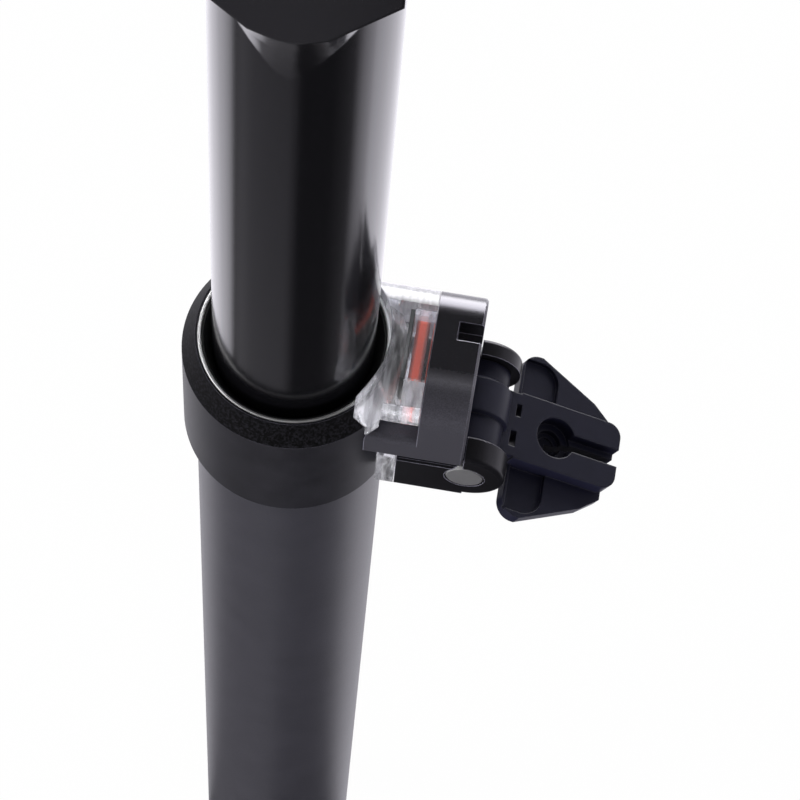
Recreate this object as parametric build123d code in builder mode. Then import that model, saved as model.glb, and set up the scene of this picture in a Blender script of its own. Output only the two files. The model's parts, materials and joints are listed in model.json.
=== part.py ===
from build123d import *
import os

os.makedirs("parts", exist_ok=True)

# A dropper seatpost at full height: a mast with a forged head slides in an
# insert tube, and a cable-pulled wing lever hinged beside the collar opens
# the cartridge through a lift strip and a rocker in the foot.
# Millimetres. Z is up along the post and Z = 0 is the lower face of the collar,
# where the insert tube leaves it. The lever module points along +X.

# Tubes. The insert tube's radius leads, and each wall or gap sets the next size
tube_radius = 15.8
tube_wall = 1.6
tube_neck_step = 0.4
bush_wall = 1.2
mast_wall = 1.8
collar_wall = 2.1
tube_length = 225.0
travel = 100.0
mast_overlap = 75.0
tiny = 0.3
edge_break = 0.4
bush_running_gap = 0.05
seat_gap = 0.1
tube_bore = tube_radius - tube_wall
tube_neck_radius = tube_radius - tube_neck_step
tube_low = -tube_length
mast_radius = tube_bore - bush_wall
mast_bore = mast_radius - mast_wall
mast_low = -mast_overlap
collar_radius = tube_radius + collar_wall

# Collar, from the top down: cone, wire ring, wiper, oil ring, chamber, tube end
collar_height = 25.0
cone_rise = 4.4
wire_radius = 0.35
wiper_height = 5.1
foam_height = 4.2
chamber_height = 5.4
seal_step = 0.8
ring_step = 0.45
rim_width = 0.3
chamber_step = 0.4
collar_top = collar_height + cone_rise
ring_rebate_low = collar_top - 2 * wire_radius
foam_high = ring_rebate_low - wiper_height
seal_shoulder = foam_high - foam_height
tube_high = seal_shoulder - chamber_height
seal_bore = tube_radius - seal_step
ring_rebate = seal_bore + ring_step
cone_top_radius = ring_rebate + rim_width
chamber_radius = tube_bore + chamber_step

# Where the three key ways and the strip way run around the tube
key_angles = (60.0, 180.0, 300.0)
key_width = 2.8
key_length = 14.0
key_bite = 0.55
key_way_gap = 0.2
key_seat_depth = 0.7
key_rise = 19.0
key_way_foot = 25.0
key_way_head = 20.0
key_reach = tube_bore + key_bite
key_way_reach = key_reach + key_way_gap
key_way_width = key_width + 2 * key_way_gap
key_low = mast_low + key_rise
key_high = key_low + key_length
key_way_low = tube_low + key_way_foot
key_way_high = -key_way_head

# Neck, delta and clamp of the head, stacked up from where the mast stops at full drop
neck_dip = 0.4
neck_rise = 14.5
head_flare = 2.0
flare_height = 18.9
flare_foot_pinch = 4.5
flare_top_pinch = 1.0
delta_rise = 12.8
delta_knee_x = 5.2
delta_knee_rise = 2.6
delta_arm_x = 16.1
delta_arm_rise = 12.9
bolt_x = 17.5
bolt_wall = 5.5
arm_end_rise = 8.1
arm_height = 14.1
tilt_axis_rise = 9.5
seat_radius = 14.5
bolt_radius = 2.5
bolt_hole_gap = 0.5
nut_radius = 3.5
nut_drop = 11.5
nut_side_gap = 8.0
bolt_below_nut = 7.2
bore_below_neck = 17.0
neck_low = collar_top + travel - neck_dip
neck_high = neck_low + neck_rise
head_half_width = mast_radius + head_flare
flare_low = neck_high - flare_height
delta_bottom = neck_low + delta_rise
delta_knee_z = delta_bottom + delta_knee_rise
delta_arm_z = delta_knee_z + delta_arm_rise
arm_end_x = bolt_x + bolt_wall
arm_end_z = delta_arm_z + arm_end_rise
arm_top = arm_end_z + arm_height
tilt_axis_z = arm_top + tilt_axis_rise
bolt_hole_radius = bolt_radius + bolt_hole_gap
nut_z = arm_top - nut_drop
nut_half_length = head_half_width - nut_side_gap
mast_bore_high = neck_low - bore_below_neck

rail_radius = 3.5
rail_y = 22.0
rail_drop = 5.0
rail_gap = 0.5
clamp_overhang = 0.5
rail_z = tilt_axis_z - rail_drop
clamp_half_length = bolt_x + clamp_overhang

# Lever module: black body, hinge frame below it and the pin of the wing lever
face_stand_off = 4.0
body_depth = 7.7
module_half_width = 12.0
body_rise = 1.2
body_above_collar = 4.1
body_round = 6.0
arm_inner_y = 6.9
arm_height_at_collar = 6.4
pin_stand_off = 0.6
pin_drop = 3.5
pin_radius = 2.5
pin_head_radius = 3.3
pin_head_length = 1.6
frame_stand_off = 1.0
frame_height = 9.5
frame_gap = 0.5
ear_radius = 6.5
ear_front_thick = 4.5
ear_rear_set_in = 1.8
ear_rear_thick = 2.9
ear_step = 3.8
ear_round = 0.8
hub_radius = 5.6
face_x = collar_radius + face_stand_off
body_outer_x = face_x + body_depth
body_low = tube_high + body_rise
body_high = collar_top + body_above_collar
arm_high = body_low + arm_height_at_collar
pin_x = body_outer_x + pin_stand_off
pin_z = body_low - pin_drop
frame_inner_x = collar_radius + frame_stand_off
frame_high = body_low - frame_gap
frame_low = frame_high - frame_height
ear_front_y = -module_half_width + ear_front_thick
ear_rear_outer_y = module_half_width - ear_rear_set_in
ear_rear_y = ear_rear_outer_y - ear_rear_thick
ear_step_x = pin_x - ear_step

# Release parts
strip_thick = 0.4
strip_half_width = 1.2
strip_gap = 0.3
strip_side_gap = 0.35
tab_rise = 1.4
tab_height = 0.8
rocker_pivot_reach = 10.0
rocker_lift = 3.4
rocker_height = 3.0
rod_radius = 4.0
rod_above_rocker = 2.6
plate_rise = 14.0
plug_length = 20.0
strip_inner_x = tube_bore + strip_gap
strip_way_reach = strip_inner_x + strip_thick + strip_gap
strip_way_half_width = strip_half_width + strip_side_gap
tab_low = tube_high + tab_rise
tab_high = tab_low + tab_height
rocker_pivot_x = -rocker_pivot_reach
rocker_low = tube_low + rocker_lift
rocker_high = rocker_low + rocker_height
rod_low = rocker_high + rod_above_rocker
plate_low = tube_low + plate_rise
plug_high = tube_low + plug_length


def _share(part_of_whole):
    # a plain fraction of some other length
    return part_of_whole


half_share = _share(0.5)


def add_ring(outer, inner, low, high, mode=Mode.ADD):
    with BuildSketch(Plane.XY.offset(low)) as outline:
        Circle(outer)
        Circle(inner, mode=Mode.SUBTRACT)
    extrude(outline.sketch, amount=high - low, mode=mode)


def add_disc(radius, low, high, x=0, y=0, mode=Mode.ADD):
    with BuildSketch(Plane.XY.offset(low)) as outline:
        with Locations((x, y)):
            Circle(radius)
    extrude(outline.sketch, amount=high - low, mode=mode)


def add_box(x_low, x_high, y_low, y_high, z_low, z_high, mode=Mode.ADD):
    with BuildSketch(Plane.XY.offset(z_low)) as outline:
        with Locations(((x_low + x_high) * half_share, (y_low + y_high) * half_share)):
            Rectangle(x_high - x_low, y_high - y_low)
    extrude(outline.sketch, amount=z_high - z_low, mode=mode)


def add_rod_y(radius, x, z, y_low, y_high, mode=Mode.ADD):
    # a round bar along Y
    with BuildSketch(Plane.XZ.offset(-y_low)) as outline:
        with Locations((x, z)):
            Circle(radius)
    extrude(outline.sketch, amount=-(y_high - y_low), mode=mode)


def add_rod_x(radius, y, z, x_low, x_high, mode=Mode.ADD):
    # a round bar along X
    with BuildSketch(Plane.YZ.offset(x_low)) as outline:
        with Locations((y, z)):
            Circle(radius)
    extrude(outline.sketch, amount=x_high - x_low, mode=mode)


def spin(points, mode=Mode.ADD):
    # turn a closed outline of (radius, height) points around the post axis
    with BuildSketch(Plane.XZ) as outline:
        with BuildLine():
            Polyline(*points, close=True)
        make_face()
    revolve(outline.sketch, axis=Axis.Z, mode=mode)


def save(built, name):
    built.part.label = name
    export_step(built.part, "parts/" + name + ".step")
    size = built.part.bounding_box().size
    print(name, round(built.part.volume, 1), len(built.part.solids()), size)


# Insert tube: a thinner neck inside the collar, key ways for the mast keys and one way
# for the lift strip, which is open through the neck
with BuildPart() as lower_tube:
    add_ring(tube_radius, tube_bore, tube_low, 0)
    chamfer(lower_tube.edges().filter_by(GeomType.CIRCLE).group_by(Axis.Z)[0], edge_break)
    for angle in key_angles:
        with BuildSketch(Plane.XY.offset(key_way_low).rotated((0, 0, angle))):
            with Locations((key_way_reach - tube_bore * half_share, 0)):
                Rectangle(tube_bore, key_way_width)
        extrude(amount=key_way_high - key_way_low, mode=Mode.SUBTRACT)
    add_box(mast_radius, strip_way_reach, -strip_way_half_width, strip_way_half_width,
            tube_low, 0, mode=Mode.SUBTRACT)
    add_ring(tube_neck_radius, tube_bore, 0, tube_high)
    add_box(mast_radius, tube_radius, -strip_way_half_width, strip_way_half_width,
            0, tube_high, mode=Mode.SUBTRACT)
save(lower_tube, "lower_tube")

# Collar: sleeve over the tube top, seal pocket above, cone on top
window_side_gap = 1.0
window_half_width = strip_half_width + window_side_gap
window_high = seal_shoulder - tiny
module_screw_rise = 4.4
module_screw_radius = 1.25
module_screw_y = (arm_inner_y + module_half_width) * half_share
module_screw_z = body_low + module_screw_rise
with BuildPart() as collar:
    spin([(tube_neck_radius, 0), (collar_radius - edge_break, 0), (collar_radius, edge_break),
          (collar_radius, collar_height), (cone_top_radius, collar_top),
          (ring_rebate, collar_top), (ring_rebate, ring_rebate_low),
          (seal_bore, ring_rebate_low), (seal_bore, seal_shoulder),
          (chamber_radius, seal_shoulder), (chamber_radius, tube_high),
          (tube_neck_radius, tube_high)])
    add_box(mast_radius, collar_radius + tiny, -window_half_width, window_half_width,
            tube_high, window_high, mode=Mode.SUBTRACT)
    for side in (1, -1):
        add_rod_x(module_screw_radius, side * module_screw_y, module_screw_z,
                  mast_bore * half_share, collar_radius, mode=Mode.SUBTRACT)
save(collar, "collar")

# Split upper bushing inside the top of the tube
bush_length = 20.0
bush_slit = 1.0
bush_low = tube_high - bush_length
with BuildPart() as upper_bushing:
    add_ring(tube_bore, mast_radius + bush_running_gap, bush_low, tube_high)
    add_box(-tube_radius, -mast_bore, -bush_slit * half_share, bush_slit * half_share,
            bush_low, tube_high, mode=Mode.SUBTRACT)
save(upper_bushing, "upper_bushing")

# Oil ring of open foam on the seal shoulder
foam_gap = 0.1
with BuildPart() as foam_ring:
    add_ring(seal_bore, mast_radius + foam_gap, seal_shoulder, foam_high)
save(foam_ring, "foam_ring")

# Wiper seal with two lips that lean in on the mast
lip_depth = 2.7
lip_thick = 0.6
lip_groove = 0.5
lower_lip_thick = 0.4
wiper_rim_wall = 0.6
groove_wall = 1.0
lip_radius = mast_radius + bush_running_gap
wiper_high = ring_rebate_low
lip_high = wiper_high - lip_depth
lip_foot = lip_high - lip_thick
lip_root = lip_foot - lip_groove
lower_lip_high = lip_root - lip_groove
lower_lip_foot = lower_lip_high - lower_lip_thick
groove_radius = seal_bore - groove_wall
wiper_rim = seal_bore - wiper_rim_wall
with BuildPart() as wiper_seal:
    spin([(seal_bore, foam_high), (seal_bore, wiper_high), (wiper_rim, wiper_high),
          (lip_radius, lip_high), (lip_radius, lip_foot), (groove_radius, lip_root),
          (groove_radius, lower_lip_high), (lip_radius, lower_lip_foot),
          (lip_radius, foam_high)])
save(wiper_seal, "wiper_seal")

# Bright wire ring in the mouth of the collar
with BuildPart() as retaining_ring:
    with BuildSketch(Plane.XZ):
        with Locations((ring_rebate - wire_radius, ring_rebate_low + wire_radius)):
            Circle(wire_radius)
    revolve(axis=Axis.Z)
save(retaining_ring, "retaining_ring")

# Mast: tube, flared neck and delta-shaped head forged in one
bush_neck_depth = 0.6
bush_seat_rise = 2.0
bush_seat_length = 12.0
delta_round = 5.0
flare_start = edge_break * half_share
flare_steps = (0, _share(0.33), _share(0.67), _share(1.0))
bush_neck_radius = mast_radius - bush_neck_depth
bush_seat_low = mast_low + bush_seat_rise
bush_seat_high = bush_seat_low + bush_seat_length
arm_hole_low = delta_bottom
with BuildPart() as mast:
    add_disc(mast_radius, mast_low, delta_arm_z)
    # the flare leaves the round mast slowly, so its borders meet in a soft V
    for rise in flare_steps:
        with BuildSketch(Plane.XY.offset(flare_low + rise * flare_height)):
            Ellipse(mast_radius - flare_foot_pinch + rise * (flare_foot_pinch - flare_top_pinch),
                    mast_radius - flare_start + rise * rise * (head_flare + flare_start))
    loft()
    with BuildSketch(Plane.XZ.offset(-head_half_width)):
        with BuildLine():
            Polyline((-delta_knee_x, delta_knee_z), (0, delta_bottom), (delta_knee_x, delta_knee_z),
                     (delta_arm_x, delta_arm_z), (arm_end_x, arm_end_z), (arm_end_x, arm_top),
                     (-arm_end_x, arm_top), (-arm_end_x, arm_end_z), (-delta_arm_x, delta_arm_z),
                     close=True)
        make_face()
        fillet(vertices().group_by(Axis.Y)[0], delta_round)
    extrude(amount=2 * head_half_width)
    add_rod_y(seat_radius, 0, tilt_axis_z, -2 * head_half_width, 2 * head_half_width,
              mode=Mode.SUBTRACT)
    for side in (1, -1):
        add_disc(bolt_hole_radius, arm_hole_low, arm_top, x=side * bolt_x, mode=Mode.SUBTRACT)
        add_rod_y(nut_radius, side * bolt_x, nut_z, -2 * head_half_width, 2 * head_half_width,
                  mode=Mode.SUBTRACT)
        # open the nut seat downwards so the nut can rock
        add_box(side * bolt_x - nut_radius, side * bolt_x + nut_radius,
                -2 * head_half_width, 2 * head_half_width, arm_hole_low, nut_z,
                mode=Mode.SUBTRACT)
    add_disc(mast_bore, mast_low, mast_bore_high, mode=Mode.SUBTRACT)
    add_ring(mast_radius + tiny, bush_neck_radius, bush_seat_low, bush_seat_high,
             mode=Mode.SUBTRACT)
    for angle in key_angles:
        with BuildSketch(Plane.XY.offset(key_low).rotated((0, 0, angle))):
            with Locations((mast_radius, 0)):
                Rectangle(2 * key_seat_depth, key_width)
        extrude(amount=key_high - key_low, mode=Mode.SUBTRACT)
save(mast, "mast")

# Split lower bushing clipped in the neck near the mast foot
lower_bush_radius = tube_bore - bush_running_gap
with BuildPart() as lower_bushing:
    add_ring(lower_bush_radius, bush_neck_radius, bush_seat_low, bush_seat_high)
    add_box(-tube_radius, -mast_bore, -bush_slit * half_share, bush_slit * half_share,
            bush_seat_low, bush_seat_high, mode=Mode.SUBTRACT)
save(lower_bushing, "lower_bushing")

# Brass keys that stop the mast from turning
for number, angle in enumerate(key_angles, start=1):
    with BuildPart() as guide_key:
        with BuildSketch(Plane.XY.offset(key_low).rotated((0, 0, angle))):
            with Locations(((key_reach + mast_radius - key_seat_depth) * half_share, 0)):
                Rectangle(key_reach - mast_radius + key_seat_depth, key_width)
        extrude(amount=key_high - key_low)
    save(guide_key, "guide_key_" + str(number))

# Cartridge: cylinder, foot seal and floating piston go with the mast
cylinder_side_gap = 0.3
cylinder_wall = 1.5
cylinder_rise = 3.0
cylinder_cap = 8.0
cylinder_radius = mast_bore - cylinder_side_gap
cylinder_bore = cylinder_radius - cylinder_wall
cylinder_low = mast_low + cylinder_rise
cylinder_high = mast_bore_high
with BuildPart() as cartridge_cylinder:
    add_disc(cylinder_radius, cylinder_low, cylinder_high)
    add_disc(cylinder_bore, cylinder_low, cylinder_high - cylinder_cap, mode=Mode.SUBTRACT)
    chamfer(cartridge_cylinder.edges().filter_by(GeomType.CIRCLE).group_by(Axis.Z)[-1], edge_break)
save(cartridge_cylinder, "cartridge_cylinder")

# Ring nut that holds the cartridge up in the mast
mast_nut_lip = 4.0
nut_clearance = 0.9
nut_low = mast_low - mast_nut_lip
with BuildPart() as mast_nut:
    add_disc(bush_neck_radius, nut_low, mast_low)
    add_disc(mast_bore, mast_low, cylinder_low)
    add_disc(rod_radius + nut_clearance, nut_low, cylinder_low, mode=Mode.SUBTRACT)
save(mast_nut, "mast_nut")

seal_head_height = 10.0
seal_head_high = cylinder_low + seal_head_height
with BuildPart() as seal_head:
    add_ring(cylinder_bore, rod_radius + bush_running_gap, cylinder_low, seal_head_high)
save(seal_head, "seal_head")

stop_height = 4.0
stop_high = seal_head_high + stop_height
with BuildPart() as top_out_ring:
    add_ring(cylinder_bore - tiny, rod_radius + tiny, seal_head_high, stop_high)
save(top_out_ring, "top_out_ring")

floating_spare = 22.0
floating_height = 10.0
floating_wall = 2.9
floating_floor = 3.0
floating_high = cylinder_high - cylinder_cap - floating_spare
floating_low = floating_high - floating_height
floating_cup = cylinder_bore - floating_wall
with BuildPart() as floating_piston:
    add_disc(cylinder_bore, floating_low, floating_high)
    add_disc(floating_cup, floating_low + floating_floor, floating_high, mode=Mode.SUBTRACT)
save(floating_piston, "floating_piston")

# Piston and hollow rod stay with the foot
piston_height = 11.7
valve_bore = 1.45
valve_pin_length = 46.3
valve_bore_spare = 12.0
piston_low = stop_high + tiny
piston_high = piston_low + piston_height
valve_pin_low = rocker_high + tiny
valve_pin_high = valve_pin_low + valve_pin_length
valve_bore_high = valve_pin_high + valve_bore_spare
with BuildPart() as piston:
    add_ring(cylinder_bore - bush_running_gap, rod_radius, piston_low, piston_high)
save(piston, "piston")

with BuildPart() as cartridge_rod:
    add_disc(rod_radius, rod_low, piston_high)
    add_disc(valve_bore, rod_low, valve_bore_high, mode=Mode.SUBTRACT)
save(cartridge_rod, "cartridge_rod")

# Foot plug screwed into the tube end
flange_thick = 3.0
flange_set_in = 0.2
nut_pocket_radius = 7.0
nut_pocket_spare = 0.6
slot_floor = 1.5
rocker_half_width = 2.0
rocker_side_gap = 0.5
rocker_tail = 2.2
rocker_end_gap = 0.8
rocker_tip_gap = 0.6
spanner_set_in = 4.2
spanner_radius = 1.6
spanner_depth = 2.0
rocker_pin_radius = 1.25
rocker_pin_half_length = 7.0
flange_low = tube_low - flange_thick
flange_radius = tube_radius - flange_set_in
nut_pocket_low = rod_low - nut_pocket_spare
slot_low = tube_low + slot_floor
slot_half_width = rocker_half_width + rocker_side_gap
rocker_inner_x = rocker_pivot_x - rocker_tail
rocker_outer_x = tube_bore - rocker_tip_gap
slot_inner_x = rocker_inner_x - rocker_end_gap
spanner_y = tube_bore - spanner_set_in
rocker_z = (rocker_low + rocker_high) * half_share
with BuildPart() as foot_plug:
    add_disc(tube_bore, tube_low, plug_high)
    add_disc(flange_radius, flange_low, tube_low)
    chamfer(foot_plug.edges().filter_by(GeomType.CIRCLE).group_by(Axis.Z)[0], 2 * edge_break)
    add_disc(rod_radius, plate_low, plug_high, mode=Mode.SUBTRACT)
    add_disc(nut_pocket_radius, nut_pocket_low, plate_low, mode=Mode.SUBTRACT)
    add_box(slot_inner_x, tube_bore + tiny, -slot_half_width, slot_half_width,
            slot_low, plate_low, mode=Mode.SUBTRACT)
    add_rod_y(rocker_pin_radius, rocker_pivot_x, rocker_z, -rocker_pin_half_length,
              rocker_pin_half_length, mode=Mode.SUBTRACT)
    for side in (1, -1):
        add_disc(spanner_radius, flange_low, flange_low + spanner_depth,
                 y=side * spanner_y, mode=Mode.SUBTRACT)
save(foot_plug, "foot_plug")

rod_nut_height = 4.4
rod_nut_half_flats = 5.5
rod_nut_low = plate_low - rod_nut_height
with BuildPart() as rod_nut:
    with BuildSketch(Plane.XY.offset(rod_nut_low)):
        RegularPolygon(rod_nut_half_flats, 6, major_radius=False)
        Circle(rod_radius, mode=Mode.SUBTRACT)
    extrude(amount=plate_low - rod_nut_low)
save(rod_nut, "rod_nut")

with BuildPart() as rocker_pin:
    add_rod_y(rocker_pin_radius, rocker_pivot_x, rocker_z, -rocker_pin_half_length,
              rocker_pin_half_length)
save(rocker_pin, "rocker_pin")

# Rocker lifted at one end by the strip, pushing the valve pin in the middle
with BuildPart() as rocker:
    add_box(rocker_inner_x, rocker_outer_x, -rocker_half_width, rocker_half_width,
            rocker_low, rocker_high)
    fillet(rocker.edges().filter_by(Axis.Y), edge_break)
    add_rod_y(rocker_pin_radius + bush_running_gap, rocker_pivot_x, rocker_z,
              -rocker_half_width, rocker_half_width, mode=Mode.SUBTRACT)
save(rocker, "rocker")

valve_pin_radius = valve_bore - bush_running_gap
with BuildPart() as valve_pin:
    add_disc(valve_pin_radius, valve_pin_low, valve_pin_high)
    fillet(valve_pin.edges().group_by(Axis.Z)[0], edge_break)
save(valve_pin, "valve_pin")

# Lift strip: flat spring-steel strip with a tab on top and a hook below
strip_outer_x = strip_inner_x + strip_thick
hook_high = rocker_low - tiny
hook_low = hook_high - strip_thick
hook_reach = 1.6
plate_thick = 2.1
hook_inner_x = rocker_outer_x - hook_reach
plate_inner_x = frame_inner_x
plate_outer_x = plate_inner_x + plate_thick
with BuildPart() as lift_strip:
    add_box(strip_inner_x, strip_outer_x, -strip_half_width, strip_half_width, hook_low, tab_high)
    add_box(strip_inner_x, plate_outer_x - tiny, -strip_half_width, strip_half_width,
            tab_low, tab_high)
    add_box(hook_inner_x, strip_outer_x, -strip_half_width, strip_half_width, hook_low, hook_high)
save(lift_strip, "lift_strip")

# Red slider seen through the clear cover, with the foot the lever pushes
plate_half_width = 6.0
plate_top_gap = 4.0
foot_half_width = 2.8
foot_reach = 3.2
nose_radius = 1.5
plate_high = body_high - plate_top_gap
foot_low = pin_z + nose_radius + tiny
foot_high = tab_low
foot_outer_x = plate_outer_x + foot_reach
with BuildPart() as red_slider:
    add_box(plate_inner_x, plate_outer_x, -plate_half_width, plate_half_width, tab_low, plate_high)
    fillet(red_slider.edges().filter_by(Axis.X), 2 * edge_break)
    add_box(plate_inner_x, foot_outer_x, -foot_half_width, foot_half_width, foot_low, foot_high)
    add_box(plate_inner_x, plate_outer_x, -strip_half_width, strip_half_width,
            tab_low, tab_high, mode=Mode.SUBTRACT)
save(red_slider, "red_slider")


# Outline shared by the black body and the clear cover: flat, with rounded shoulders
def module_outline(x_low, x_high, z_low):
    with BuildSketch(Plane.YZ.offset(x_low)) as outline:
        with Locations((0, (z_low + body_high) * half_share)):
            Rectangle(2 * module_half_width, body_high - z_low)
        fillet(vertices().group_by(Axis.Y)[-1], body_round)
    extrude(outline.sketch, amount=x_high - x_low)


# Black body: block with two arms that reach the collar
arm_reach = 5.7
arm_round = 1.2
cavity_side_gap = 0.4
cavity_wall = 4.4
cavity_roof = 2.5
notch_reach = 4.0
notch_low_y = 1.7
notch_high_y = 4.9
notch_depth = 3.8
relief_gap = 0.4
screw_head_radius = 1.9
screw_head_length = 2.0
frame_screw_in = 2.1
frame_screw_set_in = 2.4
frame_screw_bite = 2.8
arm_reach_x = collar_radius - arm_reach
cavity_half_width = plate_half_width + cavity_side_gap
cavity_outer_x = body_outer_x - cavity_wall
cavity_high = body_high - cavity_roof
notch_inner_x = body_outer_x - notch_reach
notch_low = body_high - notch_depth
relief_radius = hub_radius + relief_gap
frame_screw_x = face_x + frame_screw_in
frame_screw_y = module_half_width - frame_screw_set_in
frame_screw_high = body_low + frame_screw_bite
collar_seat = collar_radius + seat_gap
with BuildPart() as actuator_body:
    module_outline(face_x, body_outer_x, body_low)
    for side in (1, -1):
        add_box(arm_reach_x, face_x, min(side * arm_inner_y, side * module_half_width),
                max(side * arm_inner_y, side * module_half_width), body_low, arm_high)
    for level in (body_low, arm_high):
        level_edges = actuator_body.edges().filter_by(Axis.X).filter_by_position(
            Axis.Z, level - tiny, level + tiny)
        fillet(level_edges.group_by(Axis.Y)[0] + level_edges.group_by(Axis.Y)[-1], arm_round)
    chamfer(actuator_body.faces().sort_by(Axis.X)[-1].edges(), edge_break)
    add_disc(collar_seat, 0, body_high, mode=Mode.SUBTRACT)
    add_box(face_x, cavity_outer_x, -cavity_half_width, cavity_half_width, body_low, cavity_high,
            mode=Mode.SUBTRACT)
    add_box(notch_inner_x, body_outer_x, notch_low_y, notch_high_y, notch_low, body_high,
            mode=Mode.SUBTRACT)
    add_rod_y(relief_radius, pin_x, pin_z, ear_front_y, ear_rear_y, mode=Mode.SUBTRACT)
    for side in (1, -1):
        add_rod_x(module_screw_radius, side * module_screw_y, module_screw_z,
                  arm_reach_x, body_outer_x, mode=Mode.SUBTRACT)
        add_rod_x(screw_head_radius + seat_gap, side * module_screw_y, module_screw_z,
                  body_outer_x - screw_head_length - seat_gap, body_outer_x, mode=Mode.SUBTRACT)
        add_disc(module_screw_radius, body_low, frame_screw_high, x=frame_screw_x,
                 y=side * frame_screw_y, mode=Mode.SUBTRACT)
save(actuator_body, "actuator_body")

# Clear cover: saddles the collar and its cone, hollow on the lever side
cover_reach = 6.4
block_reach = 2.2
cover_roof = 1.0
cavity_back_gap = 0.5
guide_thick = 0.7
guide_height = 6.5
cover_rim_set_in = 0.15
cover_cone_gap = 0.2
recess_wall = 3.6
recess_back = 6.2
recess_roof = 4.9
leg_tip_rise = 0.8
leg_taper_rise = 3.6
leg_taper = 1.6
cover_outer_x = face_x - seat_gap
cover_inner_x = collar_radius - cover_reach
block_inner_x = collar_radius - block_reach
cover_low = arm_high + seat_gap
cover_mid_half_width = arm_inner_y - seat_gap
cover_under_arm = body_low - tiny
cover_block_x = frame_inner_x - seat_gap
cover_cavity_x = plate_inner_x - cavity_back_gap
cover_guide_x = cover_cavity_x - guide_thick
cover_cavity_high = body_high - cover_roof
guide_low = cover_cavity_high - guide_height
cover_top_radius = ring_rebate - cover_rim_set_in
cover_cone_radius = cone_top_radius + cover_cone_gap
recess_y = module_half_width - recess_wall
recess_inner_x = cover_outer_x - recess_back
recess_high = body_high - recess_roof
leg_tip_x = recess_inner_x - leg_taper
leg_tip_z = cover_low + leg_tip_rise
leg_taper_z = leg_tip_z + leg_taper_rise
with BuildPart() as clear_cover:
    module_outline(cover_inner_x, cover_outer_x, cover_low)
    add_box(cover_inner_x, cover_outer_x, -cover_mid_half_width, cover_mid_half_width,
            frame_low, cover_low)
    add_box(block_inner_x, cover_block_x, -module_half_width, module_half_width,
            frame_low, cover_under_arm)
    add_box(cover_block_x, cover_outer_x, -module_half_width, module_half_width,
            frame_low, cover_under_arm, mode=Mode.SUBTRACT)
    spin([(0, 0), (collar_seat, 0), (collar_seat, collar_height),
          (cover_cone_radius, collar_top), (cover_top_radius, collar_top + tiny),
          (cover_top_radius, body_high), (0, body_high)], mode=Mode.SUBTRACT)
    add_box(cover_cavity_x, cover_outer_x, -plate_half_width - tiny, plate_half_width + tiny,
            foot_low - tiny, cover_cavity_high, mode=Mode.SUBTRACT)
    add_box(cover_guide_x, cover_cavity_x, -plate_half_width, plate_half_width,
            guide_low, cover_cavity_high, mode=Mode.SUBTRACT)
    add_box(cover_inner_x, cover_cavity_x, -window_half_width, window_half_width,
            tube_high, window_high, mode=Mode.SUBTRACT)
    for side in (1, -1):
        with BuildSketch(Plane.XZ.offset(-side * recess_y)) as recess:
            with BuildLine():
                Polyline((cover_inner_x, cover_low), (cover_outer_x, cover_low),
                         (cover_outer_x, recess_high), (recess_inner_x, recess_high),
                         (recess_inner_x, leg_taper_z), (leg_tip_x, leg_tip_z),
                         (cover_inner_x, leg_tip_z), close=True)
            make_face()
        extrude(recess.sketch, amount=-side * (module_half_width - recess_y), mode=Mode.SUBTRACT)
save(clear_cover, "clear_cover")

# Grey plate the slider runs on, inside the cover
with BuildPart() as guide_plate:
    add_box(cover_guide_x, cover_cavity_x, -plate_half_width, plate_half_width,
            guide_low, cover_cavity_high)
save(guide_plate, "guide_plate")

# Hinge frame: block under the body with two round ears
body_back_gap = 0.15
barrel_cut_reach = 6.3
nose_side_gap = 0.4
head_seat_gap = 0.2
nose_half_width = 2.8
gap_x = body_outer_x + body_back_gap
barrel_cut_x = pin_x - barrel_cut_reach
nose_slot_half_width = nose_half_width + nose_side_gap
nose_slot_low = pin_z - nose_radius - tiny
head_seat_radius = screw_head_radius + head_seat_gap
pin_front_y = -module_half_width + pin_head_length
pin_rear_y = ear_rear_outer_y - pin_head_length
with BuildPart() as hinge_frame:
    add_rod_y(ear_radius, pin_x, pin_z, -module_half_width, ear_rear_outer_y)
    fillet(hinge_frame.edges().filter_by(GeomType.CIRCLE), ear_round)
    add_box(frame_inner_x, pin_x, -module_half_width, ear_rear_outer_y, frame_low, frame_high)
    add_box(frame_inner_x, ear_step_x, ear_rear_outer_y, module_half_width, frame_low, frame_high)
    add_box(0, gap_x, -module_half_width, module_half_width, frame_high, body_high,
            mode=Mode.SUBTRACT)
    add_box(barrel_cut_x, 2 * pin_x, ear_front_y, ear_rear_y, 0, body_high, mode=Mode.SUBTRACT)
    ear_rims = hinge_frame.edges().filter_by(GeomType.CIRCLE)
    chamfer(ear_rims.filter_by_position(Axis.Y, ear_front_y - tiny, ear_front_y + tiny),
            edge_break * half_share)
    chamfer(hinge_frame.edges().filter_by(Axis.X).group_by(Axis.Y)[0].sort_by(Axis.Z)[-1], edge_break)
    add_box(frame_inner_x, barrel_cut_x, -nose_slot_half_width, nose_slot_half_width,
            nose_slot_low, frame_high, mode=Mode.SUBTRACT)
    add_rod_y(pin_radius, pin_x, pin_z, -module_half_width, ear_rear_outer_y, mode=Mode.SUBTRACT)
    add_rod_y(pin_head_radius, pin_x, pin_z, -module_half_width, pin_front_y, mode=Mode.SUBTRACT)
    add_rod_y(pin_head_radius, pin_x, pin_z, pin_rear_y, ear_rear_outer_y, mode=Mode.SUBTRACT)
    for side in (1, -1):
        add_disc(module_screw_radius, frame_low, frame_high, x=frame_screw_x,
                 y=side * frame_screw_y, mode=Mode.SUBTRACT)
        add_disc(head_seat_radius, frame_low, frame_low + screw_head_length, x=frame_screw_x,
                 y=side * frame_screw_y, mode=Mode.SUBTRACT)
save(hinge_frame, "hinge_frame")

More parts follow.
